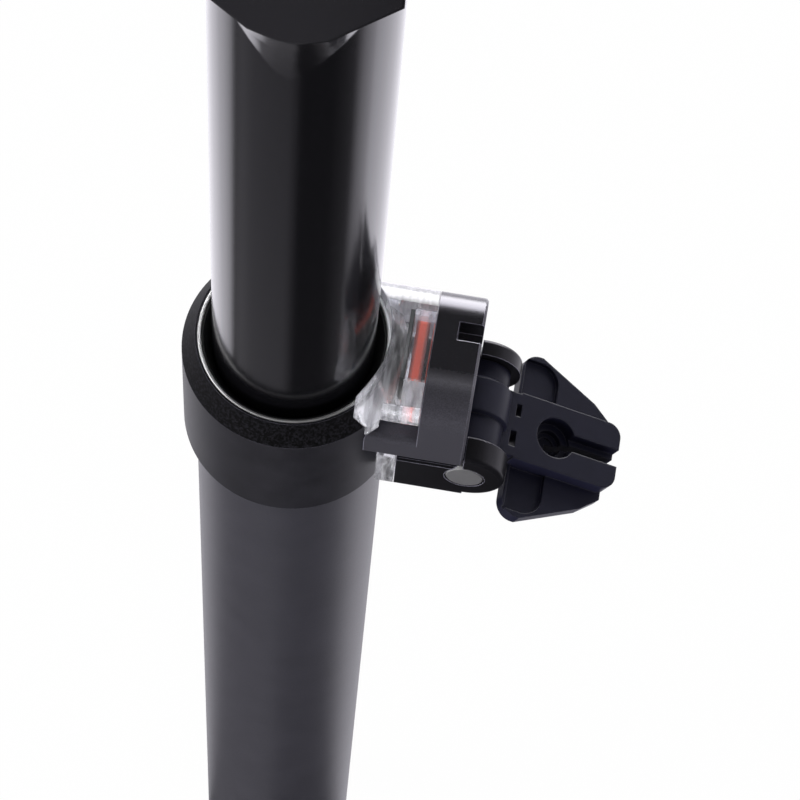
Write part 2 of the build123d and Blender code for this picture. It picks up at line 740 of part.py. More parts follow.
# Pivot pin with a flush round head, closed by a screw from the far side
pin_screw_radius = 1.4
pin_screw_depth = 7.0
slot_cut = 0.8
with BuildPart() as pivot_pin:
    add_rod_y(pin_head_radius, pin_x, pin_z, -module_half_width, pin_front_y)
    chamfer(pivot_pin.edges().group_by(Axis.Y)[0], slot_cut * half_share)
    add_rod_y(pin_radius, pin_x, pin_z, pin_front_y, pin_rear_y)
    add_rod_y(pin_screw_radius, pin_x, pin_z, pin_rear_y - pin_screw_depth, pin_rear_y,
              mode=Mode.SUBTRACT)
save(pivot_pin, "pivot_pin")

with BuildPart() as pin_screw:
    add_rod_y(pin_head_radius, pin_x, pin_z, pin_rear_y, ear_rear_outer_y)
    add_rod_y(pin_screw_radius, pin_x, pin_z, pin_rear_y - pin_screw_depth, pin_rear_y)
    add_box(pin_x - pin_head_radius, pin_x + pin_head_radius, ear_rear_outer_y - slot_cut,
            ear_rear_outer_y, pin_z - slot_cut * half_share, pin_z + slot_cut * half_share,
            mode=Mode.SUBTRACT)
save(pin_screw, "pin_screw")

# Socket screws: two hold the module to the collar, two hold the frame to the body
socket_radius = 1.0
socket_depth = 1.1
collar_screw_reach = 4.9
collar_screw_tip = collar_radius - collar_screw_reach
for side, name in ((1, "rear"), (-1, "front")):
    with BuildPart() as body_screw:
        add_rod_x(module_screw_radius, side * module_screw_y, module_screw_z,
                  collar_screw_tip, body_outer_x - screw_head_length)
        add_rod_x(screw_head_radius, side * module_screw_y, module_screw_z,
                  body_outer_x - screw_head_length, body_outer_x)
        with BuildSketch(Plane.YZ.offset(body_outer_x - socket_depth)):
            with Locations((side * module_screw_y, module_screw_z)):
                RegularPolygon(socket_radius, 6)
        extrude(amount=socket_depth, mode=Mode.SUBTRACT)
    save(body_screw, "body_screw_" + name)
    with BuildPart() as frame_screw:
        add_disc(module_screw_radius, frame_low, frame_screw_high, x=frame_screw_x,
                 y=side * frame_screw_y)
        add_disc(screw_head_radius, frame_low, frame_low + screw_head_length, x=frame_screw_x,
                 y=side * frame_screw_y)
        with BuildSketch(Plane.XY.offset(frame_low)):
            with Locations((frame_screw_x, side * frame_screw_y)):
                RegularPolygon(socket_radius, 6)
        extrude(amount=socket_depth, mode=Mode.SUBTRACT)
    save(frame_screw, "frame_screw_" + name)

# Wing lever, drawn on a plane that droops from the pivot
droop_degrees = 21.5
lever_mid_y = -0.3
lever_plane = Plane(origin=(pin_x, lever_mid_y, pin_z), x_dir=(1, 0, 0),
                    z_dir=(0, 0, 1)).rotated((0, droop_degrees, 0))
block_gap = 1.0
block_length = 18.6
block_half_width = 5.9
block_top = 0.9
lever_thick = 5.1
wing_step = 2.7
wing_set_back = 0.4
wing_edge_length = 3.5
wing_half_width = 14.6
wing_bend_length = 13.9
wing_bend_set_in = 5.0
wing_length = 17.1
wing_end_set_in = 7.6
wing_corner = 3.0
dish_rim = 0.5
dish_length = 6.4
dish_side_rim = 1.0
dish_round = 3.5
dish_depth = 0.9
web_half_width = 5.6
web_gap_low = -3.9
web_gap_high = -1.2
web_gap_length = 1.1
pocket_set_back = 7.1
pocket_radius = 3.5
pocket_depth = 3.0
pocket_step = 1.2
pocket_step_depth = 1.3
pocket_hole_radius = 1.5
pocket_hole_depth = 0.5
pocket_boss_radius = 4.0
pocket_boss_drop = 2.8
slot_half = 1.5
slot_depth = 2.3
slit_half = 0.5
vent_set_in = 0.2
vent_length = 0.9
vent_width = 2.2
vent_mid = 2.6
nose_arm = 7.6
tip_round = 2.4
barrel_front_gap = 5.0
barrel_rear_gap = 3.2
boss_step = 0.7
overrun = 1.0
block_start = ear_radius + block_gap
block_end = block_start + block_length
lever_bottom = block_top - lever_thick
wing_top = block_top - wing_step
wing_start = block_start + wing_set_back
wing_shoulder = wing_start + wing_edge_length
wing_bend = wing_start + wing_bend_length
wing_bend_half_width = wing_half_width - wing_bend_set_in
wing_end = wing_start + wing_length
wing_end_half_width = wing_half_width - wing_end_set_in
dish_start = wing_start + dish_rim
dish_end = dish_start + dish_length
dish_half_width = wing_half_width - dish_side_rim
web_start = pin_radius + overrun
pocket_s = block_start + pocket_set_back
pocket_floor = block_top - pocket_depth
pocket_step_radius = pocket_radius - pocket_step
pocket_step_floor = pocket_floor - pocket_step_depth
pocket_hole_floor = pocket_step_floor - pocket_hole_depth
pocket_boss_low = lever_bottom - pocket_boss_drop
slot_floor_level = block_top - slot_depth
slot_end = block_end + overrun
nose_centre_x = pin_x - nose_arm
barrel_front_y = ear_front_y + barrel_front_gap
barrel_rear_y = ear_rear_y - barrel_rear_gap
boss_radius = hub_radius - boss_step
wing_side = [(wing_start, wing_half_width), (wing_shoulder, wing_half_width),
             (wing_bend, wing_bend_half_width), (wing_end, wing_end_half_width)]
wing_outline = wing_side + [(s, -t) for s, t in reversed(wing_side)]

# The barrel on the pin: a wide middle with broken edges between two narrower bosses
with BuildPart() as lever_barrel:
    add_rod_y(hub_radius, pin_x, pin_z, barrel_front_y, barrel_rear_y)
    chamfer(lever_barrel.edges().filter_by(GeomType.CIRCLE), edge_break)
    add_rod_y(boss_radius, pin_x, pin_z, ear_front_y + seat_gap, ear_rear_y - seat_gap)

with BuildPart() as wing_lever:
    with BuildSketch(lever_plane.offset(lever_bottom)):
        with BuildLine():
            Polyline(*wing_outline, close=True)
        make_face()
        fillet(vertices().group_by(Axis.X)[0], wing_corner)
    extrude(amount=wing_top - lever_bottom)
    with BuildSketch(lever_plane.offset(lever_bottom)):
        with Locations(((block_start + block_end) * half_share, 0)):
            Rectangle(block_end - block_start, 2 * block_half_width)
        fillet(vertices().group_by(Axis.X)[-1], tip_round)
    extrude(amount=block_top - lever_bottom)
    with BuildSketch(lever_plane.offset(lever_bottom + edge_break)):
        with Locations(((web_start + block_start + overrun) * half_share, 0)):
            Rectangle(block_start + overrun - web_start, 2 * web_half_width)
    extrude(amount=block_top - lever_bottom - edge_break)
    with BuildSketch(lever_plane.offset(pocket_boss_low)):
        with Locations((pocket_s, 0)):
            Circle(pocket_boss_radius)
    extrude(amount=lever_bottom + edge_break - pocket_boss_low)
    add(lever_barrel.part)
    for side in (1, -1):
        with BuildSketch(lever_plane.offset(wing_top - dish_depth)):
            with Locations(((dish_start + dish_end) * half_share,
                            side * (block_half_width + dish_half_width) * half_share)):
                Rectangle(dish_end - dish_start, dish_half_width - block_half_width)
            outer_side = vertices().sort_by(Axis.Y)[-2:] if side > 0 else vertices().sort_by(Axis.Y)[:2]
            fillet(outer_side.sort_by(Axis.X)[-1], dish_round)
        extrude(amount=dish_depth, mode=Mode.SUBTRACT)
    with BuildSketch(lever_plane.offset(pocket_floor)):
        with Locations((pocket_s, 0)):
            Circle(pocket_radius)
    extrude(amount=block_top - pocket_floor, mode=Mode.SUBTRACT)
    with BuildSketch(lever_plane.offset(pocket_step_floor)):
        with Locations((pocket_s, 0)):
            Circle(pocket_step_radius)
    extrude(amount=pocket_floor - pocket_step_floor, mode=Mode.SUBTRACT)
    with BuildSketch(lever_plane.offset(pocket_hole_floor)):
        with Locations((pocket_s, 0)):
            Circle(pocket_hole_radius)
    extrude(amount=pocket_step_floor - pocket_hole_floor, mode=Mode.SUBTRACT)
    with BuildSketch(lever_plane.offset(slot_floor_level)):
        with Locations(((pocket_s + slot_end) * half_share, 0)):
            Rectangle(slot_end - pocket_s, 2 * slot_half)
    extrude(amount=slot_depth, mode=Mode.SUBTRACT)
    with BuildSketch(lever_plane.offset(pocket_boss_low)):
        with Locations(((pocket_s + slot_end) * half_share, 0)):
            Rectangle(slot_end - pocket_s, 2 * slit_half)
    extrude(amount=slot_floor_level - pocket_boss_low, mode=Mode.SUBTRACT)
    with BuildSketch(lever_plane.offset(lever_bottom)):
        with Locations((block_start - vent_set_in, vent_mid)):
            Rectangle(vent_length, vent_width)
        with Locations((block_start - web_gap_length * half_share,
                        (web_gap_low + web_gap_high) * half_share)):
            Rectangle(web_gap_length, web_gap_high - web_gap_low)
    extrude(amount=block_top - lever_bottom, mode=Mode.SUBTRACT)
    add_box(nose_centre_x, pin_x, -nose_half_width, nose_half_width, pin_z - nose_radius,
            pin_z + nose_radius)
    add_rod_y(nose_radius, nose_centre_x, pin_z, -nose_half_width, nose_half_width)
    add_rod_y(pin_radius + bush_running_gap, pin_x, pin_z, ear_front_y, ear_rear_y,
              mode=Mode.SUBTRACT)
save(wing_lever, "wing_lever")

# Lower cradle: round belly in the seat of the head, rail grooves on top
rail_block_gap = 0.6
rail_block_wall = 5.0
rail_block_drop = 6.2
belly_radius = seat_radius - bush_running_gap
cradle_top = rail_z - rail_gap
rail_block_inner_y = head_half_width + rail_block_gap
rail_block_outer_y = rail_y + rail_block_wall
rail_block_low = rail_z - rail_block_drop
with BuildPart() as lower_cradle:
    add_rod_y(belly_radius, 0, tilt_axis_z, -rail_block_outer_y, rail_block_outer_y)
    add_box(-2 * seat_radius, 2 * seat_radius, -2 * rail_y, 2 * rail_y, cradle_top,
            tilt_axis_z + 2 * seat_radius, mode=Mode.SUBTRACT)
    for side in (1, -1):
        add_box(-clamp_half_length, clamp_half_length,
                min(side * rail_block_inner_y, side * rail_block_outer_y),
                max(side * rail_block_inner_y, side * rail_block_outer_y),
                rail_block_low, cradle_top)
    for side in (1, -1):
        add_rod_x(rail_radius, side * rail_y, rail_z, -2 * clamp_half_length,
                  2 * clamp_half_length, mode=Mode.SUBTRACT)
save(lower_cradle, "lower_cradle")

# Upper clamp: plate over the rails with an ear over each bolt
upper_rise = 4.4
hump_wall = 2.7
ear_half_width = 7.5
washer_radius = 4.0
bolt_slot_end_gap = 1.1
bolt_slot_side_gap = 0.3
washer_gap = 0.15
upper_low = rail_z + rail_gap
upper_high = rail_z + upper_rise
hump_radius = rail_radius + hump_wall
ear_end_x = arm_end_x
ear_top = tilt_axis_z
bolt_slot_half_length = bolt_radius + bolt_slot_end_gap
bolt_slot_half_width = bolt_radius + bolt_slot_side_gap
with BuildPart() as upper_clamp:
    add_box(-clamp_half_length, clamp_half_length, -rail_block_outer_y, rail_block_outer_y,
            upper_low, upper_high)
    for side in (1, -1):
        add_rod_x(hump_radius, side * rail_y, rail_z, -clamp_half_length, clamp_half_length)
    add_box(-2 * clamp_half_length, 2 * clamp_half_length, -2 * rail_y, 2 * rail_y,
            rail_z - 2 * hump_radius, upper_low, mode=Mode.SUBTRACT)
    add_box(-ear_end_x, ear_end_x, -ear_half_width, ear_half_width, upper_low, ear_top)
    for side in (1, -1):
        add_rod_x(rail_radius, side * rail_y, rail_z, -2 * clamp_half_length,
                  2 * clamp_half_length, mode=Mode.SUBTRACT)
        add_rod_y(washer_radius + washer_gap, side * bolt_x, tilt_axis_z,
                  -ear_half_width, ear_half_width, mode=Mode.SUBTRACT)
        add_box(side * bolt_x - bolt_slot_half_length, side * bolt_x + bolt_slot_half_length,
                -bolt_slot_half_width, bolt_slot_half_width, upper_low, ear_top,
                mode=Mode.SUBTRACT)
save(upper_clamp, "upper_clamp")

# Front and rear clamp bolts with half-round washers above and barrel nuts below
washer_set_in = 1.0
washer_rise = 1.0
bolt_head_step = 1.1
bolt_head_height = 5.0
hex_radius = 2.3
hex_depth = 2.6
washer_half_length = ear_half_width - washer_set_in
washer_top = tilt_axis_z + washer_rise
bolt_head_radius = bolt_radius + bolt_head_step
bolt_low = nut_z - bolt_below_nut
for side, name in ((1, "front"), (-1, "rear")):
    with BuildPart() as clamp_bolt:
        add_disc(bolt_radius, bolt_low, washer_top, x=side * bolt_x)
        add_disc(bolt_head_radius, washer_top, washer_top + bolt_head_height, x=side * bolt_x)
        with BuildSketch(Plane.XY.offset(washer_top + bolt_head_height - hex_depth)):
            with Locations((side * bolt_x, 0)):
                RegularPolygon(hex_radius, 6)
        extrude(amount=hex_depth, mode=Mode.SUBTRACT)
    save(clamp_bolt, "clamp_bolt_" + name)
    with BuildPart() as bolt_washer:
        add_rod_y(washer_radius, side * bolt_x, tilt_axis_z, -washer_half_length,
                  washer_half_length)
        add_box(side * bolt_x - 2 * washer_radius, side * bolt_x + 2 * washer_radius,
                -2 * washer_half_length, 2 * washer_half_length, washer_top,
                washer_top + 2 * washer_radius, mode=Mode.SUBTRACT)
        add_disc(bolt_radius, tilt_axis_z - 2 * washer_radius, washer_top, x=side * bolt_x,
                 mode=Mode.SUBTRACT)
    save(bolt_washer, "bolt_washer_" + name)
    with BuildPart() as barrel_nut:
        add_rod_y(nut_radius, side * bolt_x, nut_z, -nut_half_length, nut_half_length)
        add_disc(bolt_radius + bush_running_gap, nut_z - 2 * nut_radius, nut_z + 2 * nut_radius,
                 x=side * bolt_x, mode=Mode.SUBTRACT)
    save(barrel_nut, "barrel_nut_" + name)
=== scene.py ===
# %% [markdown]
# # A dropper seatpost, from plain solids to a finished picture
# The solids come from a CAD model: a black mast that slides in a charcoal tube, a collar with
# seals and a lever module beside it. This lesson gives each piece its finish, adds the small
# shapes that are easier to make here than in CAD, and sets up a soft studio like the one of the
# photograph.

# %% Load the frame
import json
import math

import bpy
from mathutils import Matrix, Vector


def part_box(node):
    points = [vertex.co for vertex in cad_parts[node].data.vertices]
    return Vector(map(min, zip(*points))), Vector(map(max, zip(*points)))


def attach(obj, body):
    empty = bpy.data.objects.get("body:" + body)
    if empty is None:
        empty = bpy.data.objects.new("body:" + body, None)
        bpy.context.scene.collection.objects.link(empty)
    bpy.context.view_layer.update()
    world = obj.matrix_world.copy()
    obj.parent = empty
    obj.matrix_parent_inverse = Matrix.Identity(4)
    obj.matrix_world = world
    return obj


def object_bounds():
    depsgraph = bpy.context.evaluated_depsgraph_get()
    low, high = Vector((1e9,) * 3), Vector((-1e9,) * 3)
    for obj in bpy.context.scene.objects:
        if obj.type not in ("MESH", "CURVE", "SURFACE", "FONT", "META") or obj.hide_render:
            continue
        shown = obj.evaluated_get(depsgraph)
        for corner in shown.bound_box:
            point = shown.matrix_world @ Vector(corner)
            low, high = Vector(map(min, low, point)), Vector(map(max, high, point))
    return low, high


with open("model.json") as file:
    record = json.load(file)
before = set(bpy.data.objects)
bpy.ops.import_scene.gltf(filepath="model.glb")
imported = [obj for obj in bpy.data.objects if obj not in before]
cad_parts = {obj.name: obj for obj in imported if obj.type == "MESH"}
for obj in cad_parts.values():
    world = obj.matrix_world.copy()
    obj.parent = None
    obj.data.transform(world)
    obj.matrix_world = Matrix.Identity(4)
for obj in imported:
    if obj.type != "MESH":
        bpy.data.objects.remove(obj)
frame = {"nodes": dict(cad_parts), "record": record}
nodes = frame["nodes"]
cad_box = [list(corner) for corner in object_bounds()]
scene = bpy.context.scene
scene.view_settings.view_transform = "Standard"
MM = 0.001
print("pieces from the CAD model:", len(nodes))
print("CAD box in mm:", [[round(v / MM, 1) for v in corner] for corner in cad_box])

# %% [markdown]
# ## Camera
# The photograph looks down on the collar from the front with a long lens, so the two silhouettes
# of the tube nearly run parallel. A camera can be placed by eye, but then each size in the
# picture is a guess. Here the place, aim and roll were solved from the outlines of the mast, the
# collar's rim and the tube, so the picture and the render can be laid over each other.

# %% Camera
CAMERA_PLACE = Vector((0.02981, -0.21209, 0.47302))
CAMERA_AIM = Vector((-0.02358, 0.41728, -0.90847))
CAMERA_UP = Vector((-0.16239, 0.89506, 0.41533))
CAMERA_LENS = 139.88
SENSOR_WIDTH = 36.0
CLIP_NEAR = 0.01
CLIP_FAR = 20.0

camera_data = bpy.data.cameras.new("photo_camera")
camera_data.lens = CAMERA_LENS
camera_data.sensor_width = SENSOR_WIDTH
camera_data.clip_start = CLIP_NEAR
camera_data.clip_end = CLIP_FAR
camera = bpy.data.objects.new("photo_camera", camera_data)
scene.collection.objects.link(camera)
aim = CAMERA_AIM.normalized()
side = aim.cross(CAMERA_UP).normalized()
top = side.cross(aim)
turned = Matrix((side, top, -aim)).transposed().to_4x4()
camera.matrix_world = Matrix.Translation(CAMERA_PLACE) @ turned
scene.camera = camera
print("camera looks down by", round(math.degrees(math.asin(-aim.z)), 1), "degrees")

# %% [markdown]
# ## A small kit for materials
# A finish is a short recipe: a pattern in space, a mask for worn edges, a few sums. Nodes can be
# placed and linked one by one, but twenty finishes would repeat the same lines. So a Wire stands
# for one output of one node here. Wires can be added, multiplied and subtracted as numbers are,
# and each sum becomes a Math node. That keeps a recipe readable.

# %% Wires
class Wire:
    """One output of a node, with arithmetic."""

    def __init__(self, recipe, socket):
        self.recipe, self.socket = recipe, socket

    def __add__(self, other):
        return self.recipe.sum("ADD", self, other)

    def __radd__(self, other):
        return self.recipe.sum("ADD", other, self)

    def __sub__(self, other):
        return self.recipe.sum("SUBTRACT", self, other)

    def __rsub__(self, other):
        return self.recipe.sum("SUBTRACT", other, self)

    def __mul__(self, other):
        return self.recipe.sum("MULTIPLY", self, other)

    def __rmul__(self, other):
        return self.recipe.sum("MULTIPLY", other, self)


print("a wire knows +, - and *")

# %% [markdown]
# A Recipe adds the nodes and hands back their wires. It serves materials and the world alike. All
# patterns are noise in the space of the object, in millimetres. They need no unwrapping and stay
# the same size on each piece.

# %% Recipes
NOISE_ROUGHNESS = 0.6
# how many finer layers a noise has
SMOOTH, SOFT, PLAIN, FINE = 1.0, 2.0, 3.0, 4.0


class Recipe:
    """A node tree that is built step by step."""

    def __init__(self, tree):
        self.tree = tree
        self.tree.nodes.clear()

    def add(self, kind, settings=None, inputs=None, output=0):
        """Adds a node: first its settings, then a value or a wire for each input."""
        node = self.tree.nodes.new(kind)
        for key, value in (settings or {}).items():
            if key == "stops":
                self.set_stops(node.color_ramp, value)
            else:
                setattr(node, key, value)
        for key, value in (inputs or {}).items():
            if isinstance(value, Wire):
                self.tree.links.new(value.socket, node.inputs[key])
            else:
                node.inputs[key].default_value = value
        return Wire(self, node.outputs[output])

    @staticmethod
    def set_stops(ramp, stops):
        while len(ramp.elements) < len(stops):
            ramp.elements.new(1.0)
        for element, (place, shade) in zip(ramp.elements, stops):
            element.position = place
            element.color = (shade, shade, shade, 1.0)

    def sum(self, operation, *values):
        """A Math node on one or two values."""
        return self.add("ShaderNodeMath", {"operation": operation}, dict(enumerate(values)))

    def clamp(self, value):
        return self.add("ShaderNodeClamp", None, {"Value": value})

    def slope(self, value, start, end, first, last):
        """Goes from first to last while the value goes from start to end."""
        return self.add("ShaderNodeMapRange", None, {
            "Value": value, "From Min": start, "From Max": end, "To Min": first, "To Max": last})

    def place_mm(self):
        """Where a point is on the object, in millimetres."""
        spot = self.add("ShaderNodeTexCoord", output="Object")
        return self.add("ShaderNodeVectorMath", {"operation": "SCALE"},
                        {0: spot, "Scale": 1.0 / MM})

    def axis(self, spot, name):
        """One coordinate of a point."""
        return self.add("ShaderNodeSeparateXYZ", None, {0: spot}, output=name)

    def noise(self, spot, per_mm, detail, stretch=None):
        if stretch:
            spot = self.add("ShaderNodeVectorMath", {"operation": "MULTIPLY"},
                            {0: spot, 1: stretch})
        return self.add("ShaderNodeTexNoise", None, {
            "Vector": spot, "Scale": per_mm, "Detail": detail, "Roughness": NOISE_ROUGHNESS})

    def ramp(self, value, *stops):
        """A grey for each value, from stops of place and shade."""
        return self.add("ShaderNodeValToRGB", {"stops": stops}, {"Fac": value})

    def ray(self, kind):
        """1 for rays of one kind, such as Camera or Glossy."""
        return self.add("ShaderNodeLightPath", output="Is " + kind + " Ray")

    def mix(self, share, first, second):
        return self.add("ShaderNodeMix", {"data_type": "RGBA"},
                        {"Factor": share, 6: first, 7: second}, output=2)

    def mix_shaders(self, share, first, second):
        return self.add("ShaderNodeMixShader", None, {0: share, 1: first, 2: second})

    def end(self, kind, shader):
        node = self.tree.nodes.new(kind)
        self.tree.links.new(shader.socket, node.inputs["Surface"])


print("detail of the noises:", (SMOOTH, SOFT, PLAIN, FINE))

# %% [markdown]
# A Finish is the recipe of a material. Real edges are never quite sharp, and they wear first.
# Small fillets on each CAD edge would cost many faces, so the Bevel node turns the surface
# direction near an edge instead, and where it turns it away the edge mask finds the edge. The
# finishes lighten that edge for wear, and the anodised ones also for a painted highlight.

# %% Finishes
BEVEL_SAMPLES = 6
EDGE_GAIN = 6.0
HALF = 0.5


class Finish(Recipe):
    """A material made by recipe."""

    def __init__(self, name):
        self.material = bpy.data.materials.new(name)
        self.material.use_nodes = True
        super().__init__(self.material.node_tree)

    def round_normal(self, radius_mm):
        """The surface direction as if every edge had a small radius."""
        return self.add("ShaderNodeBevel", {"samples": BEVEL_SAMPLES}, {"Radius": radius_mm * MM})

    def edge_mask(self, rounded):
        """1 on an edge and 0 on open surface, from how far the rounded direction turns away."""
        plain = self.add("ShaderNodeNewGeometry", output="Normal")
        same = self.add("ShaderNodeVectorMath", {"operation": "DOT_PRODUCT"},
                        {0: rounded, 1: plain}, output="Value")
        return self.clamp((1.0 - same) * EDGE_GAIN)

    def bump(self, height, lift_mm, normal, strength=1.0):
        return self.add("ShaderNodeBump", None, {
            "Height": height, "Distance": lift_mm * MM, "Strength": strength, "Normal": normal})

    def skin(self, **sockets):
        """The Principled shader. Names with underscores stand for its sockets."""
        named = {key.replace("_", " "): value for key, value in sockets.items()}
        return self.add("ShaderNodeBsdfPrincipled", None, named, output="BSDF")

    def done(self, shader):
        self.end("ShaderNodeOutputMaterial", shader)
        return self.material


def grey(level, tint=(1.0, 1.0, 1.0)):
    """A grey of one level, or a tinted one, as a colour with full alpha."""
    return tuple(level * share for share in tint) + (1.0,)


print("a tinted grey:", grey(HALF, (1.0, 0.9, 0.8)))

# %% [markdown]
# ## Anodised metal
# Anodised aluminium is dyed oxide on blasted metal: a fine grain, a soft sheen and edges that wear
# lighter where the dye is thin. A flat black would hide its shape, so fine grain moves the
# roughness and the bump, broad clouds move the tone, and the edge mask brightens the edges in the
# base
# colour: partly that wear, partly a painted highlight, which is strongest on the body and the
# hinge frame. One recipe serves the tube, the collar, the black body and the clamp, with its
# shade, grain and sheen as inputs.

# %% Anodised finishes
COOL = (0.93, 0.90, 1.14)
COOL_SHEEN = (0.91, 0.88, 1.0, 1.0)
BROAD_PER_MM = 0.12
BROAD_SHARE = 0.6
CLOUD_STOPS = (0.35, 0.0), (0.65, 1.0)
WEAR_AND_HIGHLIGHT_STOPS = (0.3, 0.35), (0.6, 1.0)
ROUGH_SWING = 0.12
EDGE_POLISH = 0.12


def anodised(name, shade, rough, grain_per_mm, grain_lift, edge_wear_and_highlight_shade, metal=0.0, edge_mm=0.25,
             cloud=0.25, sheen_level=0.5, extra=None):
    """Dyed metal. An extra step may change its tone, roughness and grain in one place."""
    finish = Finish(name)
    spot = finish.place_mm()
    grain = finish.noise(spot, grain_per_mm, FINE)
    broad = finish.noise(spot, BROAD_PER_MM, SOFT)
    rounded = finish.round_normal(edge_mm)
    edge = finish.edge_mask(rounded)
    clouds = finish.ramp(broad * BROAD_SHARE + grain * (1.0 - BROAD_SHARE), *CLOUD_STOPS)
    tone = finish.mix(clouds, grey(shade * (1.0 - cloud), COOL), grey(shade * (1.0 + cloud), COOL))
    # lighter edges in the base colour: partly wear where the dye is thin, partly a painted
    # highlight
    worn_and_highlit = edge * finish.ramp(grain, *WEAR_AND_HIGHLIGHT_STOPS)
    tone = finish.mix(worn_and_highlit, tone, grey(edge_wear_and_highlight_shade, COOL))
    roughness = rough + (grain - HALF) * ROUGH_SWING - edge * EDGE_POLISH
    if extra:
        tone, roughness, grain = extra(finish, spot, 1.0 - edge, tone, roughness, grain)
    return finish.done(finish.skin(
        Base_Color=tone, Metallic=metal, Specular_IOR_Level=sheen_level, Specular_Tint=COOL_SHEEN,
        Roughness=roughness, Normal=finish.bump(grain, grain_lift, rounded)))


tube_charcoal = anodised("tube_charcoal", shade=0.034, rough=0.42, grain_per_mm=3.0,
                         grain_lift=0.010, edge_wear_and_highlight_shade=0.08, cloud=0.10, sheen_level=0.25)
clamp_black = anodised("clamp_black", shade=0.012, rough=0.36, grain_per_mm=4.0, grain_lift=0.012,
                       edge_wear_and_highlight_shade=0.12, edge_mm=0.4, sheen_level=0.7)
foot_black = anodised("foot_black", shade=0.014, rough=0.42, grain_per_mm=4.0, grain_lift=0.012,
                      edge_wear_and_highlight_shade=0.16)
screw_black = anodised("screw_black", shade=0.008, rough=0.30, grain_per_mm=8.0, grain_lift=0.008,
                       edge_wear_and_highlight_shade=0.20, metal=0.5, edge_mm=0.12)
# the hinge frame: its high edge level is mostly a painted highlight along its edges
frame_black = anodised("frame_black", shade=0.005, rough=0.30, grain_per_mm=5.0, grain_lift=0.006,
                       edge_wear_and_highlight_shade=0.45, edge_mm=0.20, cloud=0.3, sheen_level=0.25)
print("plain anodised finishes: 5")

# %% [markdown]
# Two pieces need one step more. The collar's cone is darker and coarser than its side, with fine
# pits. The body is rougher near its front and painted lighter there: a painted sheen that stands
# for the reflection of the pale floor in front, speckled by its grain. A second material on chosen
# faces would leave a hard line, so the place of a point decides, and edges stay as they are.

# %% Coarse cone and painted front sheen
CONE_FOOT_MM = 25.1
PITS_PER_MM = 2.2
PIT_STOPS = (0.45, 0.0), (0.62, 1.0)
PIT_DARK = 0.002
PIT_PALE = 0.010
PIT_DEPTH = 2.0
COARSER = 0.25
# painted sheen on the body's front: full in front of the first depth, gone behind the second
FRONT_SHEEN_FULL_Y_MM = -6.5
FRONT_SHEEN_END_Y_MM = -3.5
FRONT_SHEEN_STOPS = (0.38, 0.0), (0.60, 1.0)
FRONT_SHEEN_SHADE = 0.038
FRONT_SHEEN_DARKEST = 0.6
FRONT_SHEEN_PALEST = 1.3


def coarse_cone(finish, spot, open_face, tone, roughness, grain):
    """Pits above the foot of the collar's cone."""
    cone = finish.sum("GREATER_THAN", finish.axis(spot, "Z"), CONE_FOOT_MM)
    pits = finish.noise(spot, PITS_PER_MM, PLAIN)
    pitted = finish.mix(finish.ramp(pits, *PIT_STOPS), grey(PIT_DARK), grey(PIT_PALE, COOL))
    return (finish.mix(cone * open_face, tone, pitted), roughness + cone * COARSER,
            grain + cone * (pits - HALF) * PIT_DEPTH)


def painted_front_sheen(finish, spot, open_face, tone, roughness, grain):
    """Painted sheen of the pale floor: pale specks that fade out behind the front face."""
    front = finish.slope(finish.axis(spot, "Y"), FRONT_SHEEN_FULL_Y_MM, FRONT_SHEEN_END_Y_MM, 1.0, 0.0)
    dust_and_sheen = finish.mix(finish.ramp(grain, *FRONT_SHEEN_STOPS), grey(FRONT_SHEEN_SHADE * FRONT_SHEEN_DARKEST, COOL),
                      grey(FRONT_SHEEN_SHADE * FRONT_SHEEN_PALEST, COOL))
    return finish.mix(front * open_face, tone, dust_and_sheen), roughness + front * COARSER, grain


collar_charcoal = anodised("collar_charcoal", shade=0.015, rough=0.46, grain_per_mm=3.5,
                           grain_lift=0.016, edge_wear_and_highlight_shade=0.14, sheen_level=0.14, extra=coarse_cone)
# the body: a painted sheen on its front and a painted highlight on its edges
body_black = anodised("body_black", shade=0.010, rough=0.25, grain_per_mm=5.0, grain_lift=0.006,
                      edge_wear_and_highlight_shade=0.50, edge_mm=0.20, cloud=0.3, sheen_level=0.8, extra=painted_front_sheen)
print("anodised finishes with a step more: 2")

# %% [markdown]
# ## Gloss black mast
# The mast is polished after it is anodised, so it shows its surroundings as a dark mirror. A
# clear coat over a dull base is one way to get that. A nearly black base with a smooth surface is
# simpler, and no second sheen lies under it. Very faint long waves in the surface keep the
# reflections from looking computed, and hair-fine lines run along the travel.

# %% Mast finish
MAST_DARK = 0.0022
MAST_PALE = 0.0042
MAST_ROUGH = 0.14
MAST_SWING = 0.04
MAST_EDGE_MM = 0.6
WAVES_PER_MM = 0.05
HAIRS_PER_MM = 1.0
HAIR_STRETCH = (9.0, 9.0, 0.05)
DUST_PER_MM = 1.5
WAVE_SHARE = 0.8
WAVE_LIFT_MM = 0.05
WAVE_STRENGTH = 0.25


def gloss_black():
    finish = Finish("mast_black")
    spot = finish.place_mm()
    waves = finish.noise(spot, WAVES_PER_MM, SMOOTH)
    hairs = finish.noise(spot, HAIRS_PER_MM, SOFT, stretch=HAIR_STRETCH)
    dust_and_sheen = finish.noise(spot, DUST_PER_MM, SOFT)
    rounded = finish.round_normal(MAST_EDGE_MM)
    height = waves * WAVE_SHARE + hairs * (1.0 - WAVE_SHARE)
    return finish.done(finish.skin(
        Base_Color=finish.mix(dust_and_sheen, grey(MAST_DARK, COOL), grey(MAST_PALE, COOL)),
        Metallic=0.0, Specular_IOR_Level=0.5, Specular_Tint=COOL_SHEEN,
        Roughness=MAST_ROUGH + (dust_and_sheen - HALF) * MAST_SWING + (hairs - HALF) * MAST_SWING,
        Normal=finish.bump(height, WAVE_LIFT_MM, rounded, WAVE_STRENGTH)))


mast_black = gloss_black()
print("mast finish ready")

